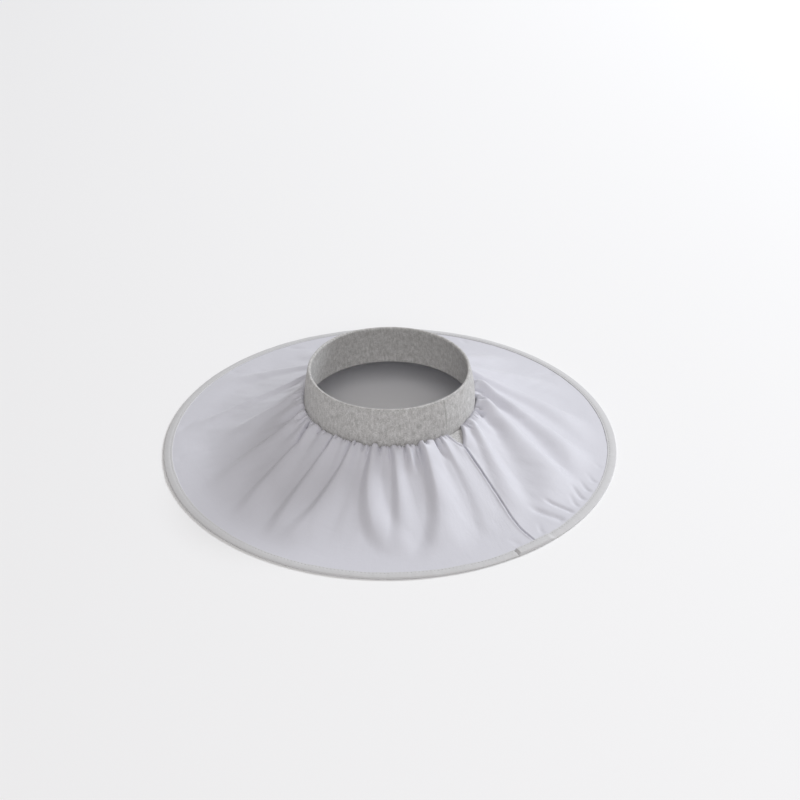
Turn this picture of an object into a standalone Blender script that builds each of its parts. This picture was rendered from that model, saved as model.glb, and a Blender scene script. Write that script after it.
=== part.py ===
"""Soft recovery cone: a gathered cloth panel between a knitted neck band and a bound rim.

The cone stands on its rim with its axis along +Z and its origin on the surface below the neck opening.
Angles go round the axis from +X. The front of the cone faces -Y, at -90 degrees.

Run with: blender --background --python part.py
Metres, +Z up.
"""

import math
from collections import namedtuple

import bpy
import numpy as np

# Cone
RIM_RADIUS = 0.190
NECK_RADIUS = 0.071
NECK_HEIGHT = 0.0445
NECK_SLOPE_DEG = 32.0
HEM_SLOPE_DEG = 11.0
FIT_GAP = 0.0003

# Cloth panel
PANEL_THICKNESS = 0.0014
FOLD_RISE = 0.0042
GATHER_RISE = 0.0010
GATHER_COUNT = 45
SEAM_DEPTH = 0.0010
HEM_MARGIN = 0.0012
FOLD_STEEPENING_DEG = 16.0

# Neck band: its height over the gather line, and the edge tucked in below that line
BAND_HEIGHT = 0.030
BAND_TUCK = 0.006
BAND_WALL = 0.0028
BAND_TAPER = 0.004

# Rim binding: the sole is the flat that its lower side rests on
TAPE_THICKNESS = 0.0010
BINDING_WIDTH = 0.009
BINDING_FOLD = 0.0022
SOLE_WIDTH = 0.0022
LAP_RISE = 0.0008
LAP_START_DEG = -58.0
LAP_END_DEG = -47.0
LAP_STEP_DEG = 0.5

# Fineness of the surfaces
PANEL_COLUMNS = 180
PANEL_SHARES = (0.0, 0.05, 0.12, 0.21, 0.32, 0.45, 0.59, 0.74, 0.88)
BAND_STEPS = 72
BINDING_COLUMNS = 120
NOSE_POINTS = 3
TOP_FOLD_POINTS = 5

# Folds of the panel. neck, middle and hem are the angles of a fold's ridge at the neck, halfway and at the hem.
# rise is a share of FOLD_RISE. left and right are the widths in degrees of the ridge's two flanks halfway out,
# seen from outside. reach is the share of the way from neck to hem at which the fold has run out.
Fold = namedtuple("Fold", "neck middle hem rise left right reach")
FOLDS = (
    Fold(neck=-190, middle=-178, hem=-170, rise=0.7, left=6, right=9, reach=0.55),
    Fold(neck=-165, middle=-158, hem=-150, rise=0.8, left=5, right=10, reach=0.70),
    Fold(neck=-148, middle=-140, hem=-133, rise=0.8, left=4, right=10, reach=0.90),
    Fold(neck=-126, middle=-126, hem=-121, rise=0.8, left=4, right=8, reach=0.95),
    Fold(neck=-112, middle=-116, hem=-120, rise=0.9, left=4, right=8, reach=0.95),
    Fold(neck=-100, middle=-96, hem=-80, rise=1.1, left=5, right=5, reach=0.85),
    Fold(neck=-87, middle=-86, hem=-88, rise=1.1, left=4, right=7, reach=0.90),
    Fold(neck=-78, middle=-78, hem=-78, rise=0.8, left=4, right=4, reach=0.22),
    Fold(neck=-69, middle=-72, hem=-82, rise=1.4, left=6, right=11, reach=0.98),
    Fold(neck=-55, middle=-57, hem=-66, rise=0.8, left=4, right=7, reach=0.90),
    Fold(neck=-36, middle=-44, hem=-49, rise=0.6, left=4, right=4, reach=0.36),
    Fold(neck=-27, middle=-43, hem=-49, rise=0.9, left=6, right=7, reach=0.75),
    Fold(neck=2, middle=-17, hem=-27, rise=1.5, left=13, right=6, reach=1.00),
    Fold(neck=24, middle=1, hem=-13, rise=1.4, left=10, right=6, reach=1.00),
    Fold(neck=44, middle=20, hem=3, rise=1.2, left=10, right=6, reach=0.98),
    Fold(neck=60, middle=39, hem=24, rise=1.0, left=9, right=6, reach=0.95),
    Fold(neck=75, middle=58, hem=47, rise=1.0, left=8, right=7, reach=0.95),
    Fold(neck=86, middle=80, hem=74, rise=0.9, left=8, right=8, reach=0.85),
    Fold(neck=97, middle=98, hem=99, rise=1.1, left=7, right=7, reach=0.95),
    Fold(neck=107, middle=116, hem=122, rise=0.9, left=7, right=8, reach=0.90),
    Fold(neck=120, middle=135, hem=151, rise=1.1, left=6, right=8, reach=1.00),
    Fold(neck=142, middle=164, hem=176, rise=1.2, left=7, right=5, reach=1.00),
)
FOLD_DATUM = 0.45
FOLD_HALF_RISE = 0.75
FOLD_NECK_RISE = 0.30
FOLD_NARROWING = 0.65

# The seam's line and the half width of its crease. The panel's columns follow it within SEAM_REACH_DEG of it.
Seam = namedtuple("Seam", "neck middle hem width")
SEAM = Seam(neck=-44.0, middle=-48.5, hem=-52.0, width=2.0)
SEAM_REACH_DEG = 25.0

# Colour, roughness and metallic value of each finish
Finish = namedtuple("Finish", "colour roughness metallic")
WOVEN_CLOTH = Finish(colour=(0.60, 0.60, 0.65), roughness=0.72, metallic=0.0)
KNITTED_CLOTH = Finish(colour=(0.36, 0.36, 0.37), roughness=0.95, metallic=0.0)
BIAS_TAPE = Finish(colour=(0.50, 0.50, 0.52), roughness=0.80, metallic=0.0)


def clear_scene():
    for item in list(bpy.data.objects):
        bpy.data.objects.remove(item, do_unlink=True)


def smooth_step(value, low, high):
    """0 below low, 1 above high and an S curve between."""
    share = np.clip((value - low) / (high - low), 0.0, 1.0)
    return share * share * (3.0 - 2.0 * share)


def line_angle(line, share):
    """The quadratic through a fold's or the seam's three angles, in degrees."""
    bend = 2.0 * (line.neck - 2.0 * line.middle + line.hem)
    return line.neck + (line.hem - line.neck - bend) * share + bend * share * share


def turn_between(angle, other):
    """The signed turn from one angle to another, within half a turn."""
    return (angle - other + 180.0) % 360.0 - 180.0


def binding_thickness():
    return 2.0 * (TAPE_THICKNESS + FIT_GAP) + PANEL_THICKNESS


def hem_point(depth, lift):
    """Radius and height of a point near the rim.

    depth runs in from the rim's outer edge along the hem's slope, and lift is the distance from the middle plane
    that panel and binding share. The rim is as high as leaves the binding's lower side SOLE_WIDTH of flat at z = 0.
    """
    slope = math.radians(HEM_SLOPE_DEG)
    half = binding_thickness() / 2.0
    tip_height = half * math.cos(slope) - (half / 2.0 + SOLE_WIDTH) * math.sin(slope)
    radius = RIM_RADIUS - depth * math.cos(slope) + lift * math.sin(slope)
    height = tip_height + depth * math.sin(slope) + lift * math.cos(slope)
    return radius, height


def panel_edges():
    """The outer face's radius at the neck, and its points at the binding's mouth and at its end inside the tape.

    The wall is square to the slope, so its lower corner at the neck leans in towards the band, most in a valley
    between folds.
    """
    steepest = math.radians(NECK_SLOPE_DEG + FOLD_STEEPENING_DEG)
    neck = NECK_RADIUS + FIT_GAP + PANEL_THICKNESS * math.sin(steepest)
    mouth = hem_point(BINDING_WIDTH + HEM_MARGIN, PANEL_THICKNESS / 2.0)
    end = hem_point(BINDING_FOLD + FIT_GAP, PANEL_THICKNESS / 2.0)
    return neck, mouth, end


def panel_profile(share):
    """Radius and height of the outer face from neck (0) to hem (1), without folds.

    A Hermite curve leaves the neck at its slope and meets the hem's slope at the binding's mouth, and the stretch
    inside the binding is straight.
    """
    neck_radius, mouth, end = panel_edges()
    radius = neck_radius + (end[0] - neck_radius) * share
    run = mouth[0] - neck_radius
    t = np.clip((radius - neck_radius) / run, 0.0, 1.0)
    neck_pull = -math.tan(math.radians(NECK_SLOPE_DEG)) * run
    hem_pull = -math.tan(math.radians(HEM_SLOPE_DEG)) * run
    curve = (
        (2 * t**3 - 3 * t**2 + 1) * NECK_HEIGHT
        + (t**3 - 2 * t**2 + t) * neck_pull
        + (3 * t**2 - 2 * t**3) * mouth[1]
        + (t**3 - t**2) * hem_pull
    )
    straight = mouth[1] - (radius - mouth[0]) * math.tan(math.radians(HEM_SLOPE_DEG))
    return radius, np.where(radius < mouth[0], curve, straight)


def mouth_share():
    """The share of the way out at which the panel enters the binding."""
    neck_radius, mouth, end = panel_edges()
    return (mouth[0] - neck_radius) / (end[0] - neck_radius)


def fold_relief(angle, share):
    """Height of the folds.

    Each is a rounded ridge with flanks of two widths, which narrow towards the neck. It rises from the neck's
    stitching, loses height outwards and runs out before the binding.
    """
    narrowing = FOLD_NARROWING + (1.0 - FOLD_NARROWING) * 2.0 * share
    total = np.full_like(angle, -FOLD_DATUM)
    for fold in FOLDS:
        turn = turn_between(angle, line_angle(fold, share))
        across = np.clip(turn / np.where(turn < 0.0, fold.left, fold.right) / narrowing, -1.0, 1.0)
        along = 1.0 - smooth_step(share, 0.55 * fold.reach, 1.05 * fold.reach)
        total = total + fold.rise * along * np.cos(across * math.pi / 2.0) ** 2
    rising = FOLD_NECK_RISE + (1.0 - FOLD_NECK_RISE) * smooth_step(share, 0.0, 0.09)
    fading = 1.0 - (1.0 - FOLD_HALF_RISE) * smooth_step(share, 0.0, 0.5)
    return FOLD_RISE * rising * fading * total


def gather_relief(angle, share):
    """Small puckers drawn up at the neck, a little uneven in spacing."""
    turn = np.radians(angle)
    phase = GATHER_COUNT * turn + 1.1 * np.sin(3.0 * turn) + 0.9 * np.sin(7.0 * turn + 0.6)
    return GATHER_RISE * np.cos(phase) * (1.0 - smooth_step(share, 0.02, 0.22))


def seam_relief(angle, share):
    """The crease along the side seam, deepest near the neck."""
    across = np.abs(turn_between(angle, line_angle(SEAM, share))) / SEAM.width
    return -SEAM_DEPTH * (1.3 - share) * np.clip(1.0 - across, 0.0, 1.0)


def panel_points():
    """A grid of points on the panel's outer face, as rings from neck to hem."""
    shares = [share * mouth_share() for share in PANEL_SHARES] + [mouth_share(), 1.0]
    around = np.arange(PANEL_COLUMNS) * 360.0 / PANEL_COLUMNS
    share, around = np.meshgrid(shares, around, indexing="ij")
    nearness = np.clip(1.0 - np.abs(turn_between(around, 0.0)) / SEAM_REACH_DEG, 0.0, 1.0)
    lean = line_angle(SEAM, share) - SEAM.middle
    angle = SEAM.middle + around + lean * nearness
    relief = fold_relief(angle, share) + gather_relief(angle, share) + seam_relief(angle, share)
    radius, height = panel_profile(share)
    height = height + relief * (1.0 - smooth_step(share / mouth_share(), 0.7, 1.0))
    turn = np.radians(angle)
    return np.stack([radius * np.cos(turn), radius * np.sin(turn), height], axis=-1)


def lap_lift(angle):
    """How far the lapped end of the tape raises the binding's top at an angle."""
    rise_from = LAP_START_DEG
    fall_to = LAP_END_DEG
    inside = (rise_from, rise_from + LAP_STEP_DEG, fall_to - LAP_STEP_DEG, fall_to)
    return float(np.interp(turn_between(angle, 0.0), inside, (0.0, LAP_RISE, LAP_RISE, 0.0)))


def binding_section(angle):
    """The folded tape's outline at one angle, as (radius, height) points: a C that opens towards the neck."""
    half = binding_thickness() / 2.0
    slot = PANEL_THICKNESS / 2.0 + FIT_GAP
    lift = lap_lift(angle)
    nose = [math.pi / 2.0 * (1.0 - k / (NOSE_POINTS - 1)) for k in range(NOSE_POINTS)]
    top = [hem_point(BINDING_WIDTH, half + lift)]
    top += [hem_point(half * (1.0 - math.cos(a)), (half + lift) * math.sin(a)) for a in nose]
    sole_outer = (hem_point(half / 2.0, -half)[0], 0.0)
    sole_inner = (hem_point(half / 2.0 + SOLE_WIDTH, -half)[0], 0.0)
    under = [sole_outer, sole_inner, hem_point(BINDING_WIDTH, -half)]
    mouth = [
        hem_point(BINDING_WIDTH, -slot),
        hem_point(BINDING_FOLD, -slot),
        hem_point(BINDING_FOLD, slot),
        hem_point(BINDING_WIDTH, slot),
    ]
    return top + under + mouth


def binding_points():
    """The binding's outline points, each carried evenly round the rim and to both ends of each step of the lap."""
    even = [k * 360.0 / BINDING_COLUMNS - 180.0 for k in range(BINDING_COLUMNS)]
    steps = (LAP_START_DEG, LAP_START_DEG + LAP_STEP_DEG, LAP_END_DEG - LAP_STEP_DEG, LAP_END_DEG)
    sections = []
    for angle in sorted(set(even) | set(steps)):
        turn = math.radians(angle)
        outline = binding_section(angle)
        sections.append([(r * math.cos(turn), r * math.sin(turn), z) for r, z in outline])
    return np.array(sections).transpose(1, 0, 2)


def ring_mesh(name, grid, closed_across):
    """A mesh of quads through a grid of points.

    The grid closes on itself along its second axis, and along its first axis too where closed_across is set.
    """
    rows, columns = grid.shape[:2]
    last = rows if closed_across else rows - 1
    faces = []
    for row in range(last):
        above = (row + 1) % rows
        for column in range(columns):
            beside = (column + 1) % columns
            faces.append(
                (
                    row * columns + column,
                    above * columns + column,
                    above * columns + beside,
                    row * columns + beside,
                )
            )
    mesh = bpy.data.meshes.new(name)
    mesh.from_pydata(grid.reshape(-1, 3).tolist(), [], faces)
    mesh.update()
    return mesh


def finish_material(name, finish):
    material = bpy.data.materials.new(name)
    material.use_nodes = True
    shader = material.node_tree.nodes["Principled BSDF"]
    shader.inputs["Base Color"].default_value = (*finish.colour, 1.0)
    shader.inputs["Roughness"].default_value = finish.roughness
    shader.inputs["Metallic"].default_value = finish.metallic
    return material


def add_part(mesh, collection, finish):
    """Adds an object of the mesh's own name, smooth shaded, with its own material."""
    part = bpy.data.objects.new(mesh.name, mesh)
    collection.objects.link(part)
    mesh.materials.append(finish_material(mesh.name + "_finish", finish))
    mesh.shade_smooth()
    return part


def add_cone_panel(collection):
    """The panel is an open surface of its outer face, thickened towards its underside."""
    part = add_part(ring_mesh("cone_panel", panel_points(), False), collection, WOVEN_CLOTH)
    wall = part.modifiers.new("wall", "SOLIDIFY")
    wall.thickness = PANEL_THICKNESS
    wall.offset = -1.0
    wall.use_even_offset = True
    wall.use_rim = True
    return part


def add_neck_band(collection):
    """The band is a turned profile: straight inside the gather line, then leaning in to its folded top edge."""
    lean = BAND_TAPER / BAND_HEIGHT
    fold = BAND_WALL / 2.0
    top = NECK_HEIGHT + BAND_HEIGHT
    bottom = NECK_HEIGHT - BAND_TUCK
    centre = (NECK_RADIUS - BAND_TAPER + lean * fold - fold, top - fold)
    arc = [math.pi * k / (TOP_FOLD_POINTS - 1) for k in range(TOP_FOLD_POINTS)]
    fold_over = [(centre[0] + fold * math.cos(a), centre[1] + fold * math.sin(a)) for a in arc]
    outline = fold_over[::-1] + [
        (NECK_RADIUS, NECK_HEIGHT),
        (NECK_RADIUS, bottom),
        (NECK_RADIUS - BAND_WALL, bottom),
        (NECK_RADIUS - BAND_WALL, NECK_HEIGHT),
    ]
    points = [(radius, 0.0, height) for radius, height in outline]
    edges = [(k, (k + 1) % len(points)) for k in range(len(points))]
    mesh = bpy.data.meshes.new("neck_band")
    mesh.from_pydata(points, edges, [])
    part = add_part(mesh, collection, KNITTED_CLOTH)
    turned = part.modifiers.new("turned", "SCREW")
    turned.axis = "Z"
    turned.angle = 2.0 * math.pi
    turned.steps = BAND_STEPS
    turned.render_steps = BAND_STEPS
    turned.use_merge_vertices = True
    turned.merge_threshold = 0.00001
    turned.use_smooth_shade = True
    return part


def add_rim_binding(collection):
    """The binding is a loft round the rim, because its section grows where the tape's end laps its start."""
    part = add_part(ring_mesh("rim_binding", binding_points(), True), collection, BIAS_TAPE)
    part.data.set_sharp_from_angle(angle=math.radians(40.0))
    return part


def main():
    clear_scene()
    collection = bpy.data.collections.new("soft_recovery_cone")
    bpy.context.scene.collection.children.link(collection)
    add_cone_panel(collection)
    add_neck_band(collection)
    add_rim_binding(collection)


main()
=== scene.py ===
"""The looks of a soft recovery cone: a gathered cloth panel, a knitted neck band and a bound rim.

The cone lies on its rim, with its axis along +Z and its front towards -Y. Angles go round the axis from +X in
degrees, and a share runs from 0 at the neck's gather line to 1 at the panel's outer edge inside the binding.
"""

import logging
import math
from collections.abc import Sequence
from dataclasses import dataclass, field
from enum import Enum

import bpy
import numpy as np
from mathutils import Matrix, Vector


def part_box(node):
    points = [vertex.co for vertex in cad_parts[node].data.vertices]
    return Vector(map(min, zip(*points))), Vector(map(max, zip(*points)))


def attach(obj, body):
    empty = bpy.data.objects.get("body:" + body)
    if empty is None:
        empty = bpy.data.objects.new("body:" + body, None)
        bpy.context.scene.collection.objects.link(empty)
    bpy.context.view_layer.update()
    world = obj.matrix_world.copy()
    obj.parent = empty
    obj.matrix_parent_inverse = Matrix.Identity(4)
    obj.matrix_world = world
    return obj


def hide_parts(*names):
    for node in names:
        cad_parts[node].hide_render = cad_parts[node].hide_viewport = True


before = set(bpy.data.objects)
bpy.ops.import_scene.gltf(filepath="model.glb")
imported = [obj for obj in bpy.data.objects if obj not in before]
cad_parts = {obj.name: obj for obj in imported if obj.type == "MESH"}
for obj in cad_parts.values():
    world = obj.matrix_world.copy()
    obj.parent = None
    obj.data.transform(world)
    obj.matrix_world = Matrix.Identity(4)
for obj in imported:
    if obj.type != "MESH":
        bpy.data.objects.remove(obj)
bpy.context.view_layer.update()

LOG = logging.getLogger("soft_recovery_cone")

Array = np.ndarray
Colour = tuple[float, float, float]


class Slot(Enum):
    """The names of the record's material slots."""

    WOVEN = "woven_cloth"
    KNITTED = "knitted_cloth"
    TAPE = "bias_tape"


class Face(Enum):
    """The two faces of a cloth wall, as the sign of its outward normal."""

    OUTER = 1.0
    INNER = -1.0


def smooth_step(value: Array, low: float, high: float) -> Array:
    """An S curve from 0 to 1: three times the squared share less twice its cube.

    Args:
        value: where to read the curve.
        low: the value at and below which it is 0.
        high: the value at and above which it is 1.

    Returns:
        The curve's height at each value.
    """
    share = np.clip((value - low) / (high - low), 0.0, 1.0)
    return share * share * (3.0 - 2.0 * share)


def turn_between(angle: Array, other: Array | float) -> Array:
    """The signed turn from one angle to another, taken the short way round.

    Args:
        angle: angles in degrees.
        other: the angle or angles that they are measured from.

    Returns:
        Turns from -180 up to 180 degrees.
    """
    return (angle - other + 180.0) % 360.0 - 180.0


def drawn_noise(around: Array, out: Array, cells_around: int, cells_out: int, seed: int) -> Array:
    """Smooth chance relief, which closes on itself once round the cone.

    A lattice of chance heights is read with S curves between its four nearest corners.

    Args:
        around: share of a whole turn, from 0 to 1.
        out: share of the way out, from 0 to 1.
        cells_around: how many lattice cells go round.
        cells_out: how many lattice cells go from the neck to the hem.
        seed: seed of the lattice.

    Returns:
        Heights from about -1 to 1.
    """
    lattice = np.random.default_rng(seed).uniform(-1.0, 1.0, (cells_around, cells_out + 2))
    x = (around % 1.0) * cells_around
    y = np.clip(out, 0.0, 1.0) * cells_out
    column = np.floor(x).astype(int)
    row = np.floor(y).astype(int)
    across = smooth_step(x - column, 0.0, 1.0)
    along = smooth_step(y - row, 0.0, 1.0)
    here = column % cells_around
    beside = (column + 1) % cells_around
    near = lattice[here, row] * (1.0 - across) + lattice[beside, row] * across
    far = lattice[here, row + 1] * (1.0 - across) + lattice[beside, row + 1] * across
    return near * (1.0 - along) + far * along


@dataclass(frozen=True)
class ChanceRelief:
    """Smooth chance relief: its height in metres, its lattice cells each way and its seed."""

    height: float
    cells_around: int
    cells_out: int
    seed: int

    def level(self, around: Array, out: Array) -> Array:
        """Its height at each place."""
        return self.height * drawn_noise(around, out, self.cells_around, self.cells_out, self.seed)


PANEL_RELIEF = (
    ChanceRelief(height=0.00016, cells_around=150, cells_out=6, seed=3),
    ChanceRelief(height=0.00045, cells_around=48, cells_out=4, seed=7),
    ChanceRelief(height=0.0007, cells_around=17, cells_out=3, seed=11),
)

TAPE_RELIEF = (
    ChanceRelief(height=0.00012, cells_around=60, cells_out=1, seed=41),
    ChanceRelief(height=0.00008, cells_around=190, cells_out=1, seed=43),
    ChanceRelief(height=0.00006, cells_around=420, cells_out=1, seed=47),
)

BAND_RELIEF = ChanceRelief(height=0.0005, cells_around=14, cells_out=2, seed=23)
BAND_TOP_RELIEF = ChanceRelief(height=0.0006, cells_around=11, cells_out=1, seed=29)


def round_axis(radius: Array, angle: Array, height: Array) -> Array:
    """Points from their radius, angle in degrees and height.

    Args:
        radius: distances from the axis in metres.
        angle: angles round the axis in degrees.
        height: heights in metres.

    Returns:
        An array of points with one more axis, for x, y and z.
    """
    turn = np.radians(angle)
    return np.stack([radius * np.cos(turn), radius * np.sin(turn), height + 0.0 * turn], axis=-1)


def grid_normals(points: Array) -> Array:
    """Unit normals of a grid of points that closes on itself along its second axis.

    The normal is the cross product of the differences between the neighbours along the two axes, so it
    points up where the first axis runs outwards and the second anticlockwise.

    Args:
        points: a grid of points.

    Returns:
        A grid of unit vectors of the same shape.
    """
    out = np.gradient(points, axis=0)
    around = np.roll(points, -1, axis=1) - np.roll(points, 1, axis=1)
    normal = np.cross(out, around)
    return normal / np.linalg.norm(normal, axis=-1, keepdims=True)


def loop_faces(rows: int, columns: int, closed: bool) -> Array:
    """Quads through a grid that closes on itself along its second axis.

    Args:
        rows: points along the first axis.
        columns: points along the second axis.
        closed: whether the first axis closes on itself too.

    Returns:
        An array of four vertex numbers a face.
    """
    row = np.arange(rows if closed else rows - 1)[:, None]
    column = np.arange(columns)[None, :]
    above = (row + 1) % rows
    beside = (column + 1) % columns
    corners = (
        row * columns + column,
        above * columns + column,
        above * columns + beside,
        row * columns + beside,
    )
    return np.stack([c.reshape(-1) for c in corners], axis=-1)


def loop_uvs(rows: int, columns: int, closed: bool, across: Array, round_length: float) -> Array:
    """UVs in metres for the quads of loop_faces: U runs round, V along the first axis.

    Args:
        rows: points along the first axis.
        columns: points along the second axis.
        closed: whether the first axis closes on itself too.
        across: the length along the first axis at each row, and at the closing row where it closes.
        round_length: the length of one whole turn.

    Returns:
        Two numbers for each corner of each face, in the order of loop_faces.
    """
    row = np.arange(rows if closed else rows - 1)[:, None] + np.zeros(columns, int)[None, :]
    column = np.arange(columns)[None, :] + np.zeros(row.shape, int)
    rows_at = np.stack([row, row + 1, row + 1, row], axis=-1)
    columns_at = np.stack([column, column, column + 1, column + 1], axis=-1)
    u = columns_at / columns * round_length
    v = across[rows_at]
    return np.stack([u, v], axis=-1).reshape(-1, 2)


def lengths_along(grid: Array) -> Array:
    """Distances along a grid's first axis, measured at its first column and closed round to its start.

    Args:
        grid: a grid of points.

    Returns:
        One more distance than there are rows, from 0 to the length of the whole loop.
    """
    steps = np.linalg.norm(np.diff(grid[:, 0], axis=0, append=grid[:1, 0]), axis=-1)
    return np.concatenate([[0.0], np.cumsum(steps)])


def corner_uvs(faces: list[list[int]], along: Array, across: Array) -> Array:
    """UVs for each corner of each face, read from grids with one value a vertex.

    Args:
        faces: faces as vertex numbers.
        along: U at each vertex in metres.
        across: V at each vertex in metres.

    Returns:
        Two numbers for each face corner.
    """
    corner = np.concatenate([np.asarray(face) for face in faces])
    return np.stack([along.reshape(-1)[corner], across.reshape(-1)[corner]], axis=-1)


def make_piece(
    name: str, points: Array, faces: list[list[int]], uvs: Array | None = None
) -> bpy.types.Object:
    """A smooth-shaded mesh object at the origin.

    Args:
        name: the piece's name.
        points: its vertices, in any grid shape, in metres.
        faces: its faces as vertex numbers.
        uvs: two numbers for each face corner, or None.

    Returns:
        The new object, linked to the scene.
    """
    mesh = bpy.data.meshes.new(name)
    mesh.from_pydata(points.reshape(-1, 3), [], faces)
    if uvs is not None:
        layer = mesh.uv_layers.new(name="cloth_metres")
        layer.data.foreach_set("uv", uvs.astype(np.float32).reshape(-1))
    mesh.polygons.foreach_set("use_smooth", np.ones(len(mesh.polygons), dtype=bool))
    mesh.update()
    mesh.validate()
    piece = bpy.data.objects.new(name, mesh)
    bpy.context.scene.collection.objects.link(piece)
    return piece


@dataclass(frozen=True)
class Line:
    """A line down the cone, as its angles at the neck, halfway and at the hem."""

    neck: float
    middle: float
    hem: float

    def angle(self, share: Array) -> Array:
        """The quadratic through the line's three angles.

        Args:
            share: shares of the way from neck to hem.

        Returns:
            Angles in degrees.
        """
        bend = 2.0 * (self.neck - 2.0 * self.middle + self.hem)
        return self.neck + (self.hem - self.neck - bend) * share + bend * share * share


@dataclass(frozen=True)
class SideSeam:
    """The side seam's line: it leaves the neck at one angle and swings to another on its way out."""

    neck: float = -44.2
    swing: float = -7.3
    start: float = -0.05
    end: float = 0.90

    def angle(self, share: Array) -> Array:
        """The neck's angle and an S curve's share of the swing.

        Args:
            share: shares of the way from neck to hem.

        Returns:
            Angles in degrees.
        """
        return self.neck + self.swing * smooth_step(share, self.start, self.end)


@dataclass(frozen=True)
class Fold(Line):
    """A ridge of cloth.

    rise is a share of the folds' height. left and right are the widths in degrees of its two flanks halfway
    out, seen from outside. reach is the share of the way out at which it has run out.
    """

    rise: float
    left: float
    right: float
    reach: float


@dataclass(frozen=True)
class Nick:
    """A narrow valley drawn in by the gathering thread.

    angle is where it leaves the neck, drift the degrees that it turns by on its way, reach the share of the
    way out at which it has run out, depth a share of the nicks' depth and width its half width in degrees.
    """

    angle: float
    drift: float
    reach: float
    depth: float
    width: float


@dataclass(frozen=True)
class Pucker:
    """A short dent that the binding's stitching pulls up from the hem.

    start and end are its angles at the inner end and at the hem, inner the share of the way out where it
    begins, depth a share of the puckers' depth and width its half width in degrees.
    """

    start: float
    end: float
    inner: float
    depth: float
    width: float


FOLDS = (
    Fold(neck=-190, middle=-178, hem=-170, rise=0.9, left=5, right=10, reach=0.60),
    Fold(neck=-163, middle=-157, hem=-150, rise=1.0, left=4.5, right=10, reach=0.85),
    Fold(neck=-145.5, middle=-140.5, hem=-134, rise=1.3, left=4, right=10, reach=0.92),
    Fold(neck=-126, middle=-126, hem=-121, rise=1.4, left=4, right=9, reach=0.98),
    Fold(neck=-112, middle=-116, hem=-120, rise=1.4, left=4.2, right=9, reach=0.98),
    Fold(neck=-100, middle=-96, hem=-80, rise=1.3, left=5, right=9, reach=0.85),
    Fold(neck=-87, middle=-86, hem=-88, rise=0.9, left=4.2, right=7, reach=0.85),
    Fold(neck=-78, middle=-78, hem=-78, rise=0.8, left=4, right=4, reach=0.20),
    Fold(neck=-69, middle=-72, hem=-82, rise=1.6, left=6, right=11, reach=0.98),
    Fold(neck=-55, middle=-57, hem=-66, rise=0.4, left=4, right=7, reach=0.90),
    Fold(neck=-27, middle=-43, hem=-49, rise=1.0, left=8, right=6, reach=0.80),
    Fold(neck=-1, middle=-21, hem=-29, rise=2.3, left=17, right=5, reach=1.00),
    Fold(neck=20, middle=-4, hem=-17, rise=2.1, left=11, right=5, reach=1.00),
    Fold(neck=40, middle=16, hem=0, rise=1.7, left=10, right=5, reach=0.98),
    Fold(neck=60, middle=39, hem=24, rise=1.3, left=9, right=5, reach=0.95),
    Fold(neck=75, middle=58, hem=47, rise=1.1, left=8, right=6, reach=0.95),
    Fold(neck=86, middle=80, hem=74, rise=0.9, left=8, right=8, reach=0.85),
    Fold(neck=97, middle=98, hem=99, rise=1.1, left=7, right=7, reach=0.95),
    Fold(neck=107, middle=116, hem=122, rise=0.9, left=5, right=8, reach=0.90),
    Fold(neck=120, middle=135, hem=151, rise=1.0, left=3, right=7, reach=1.00),
    Fold(neck=142, middle=164, hem=176, rise=1.0, left=2.6, right=5, reach=1.00),
)

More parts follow.
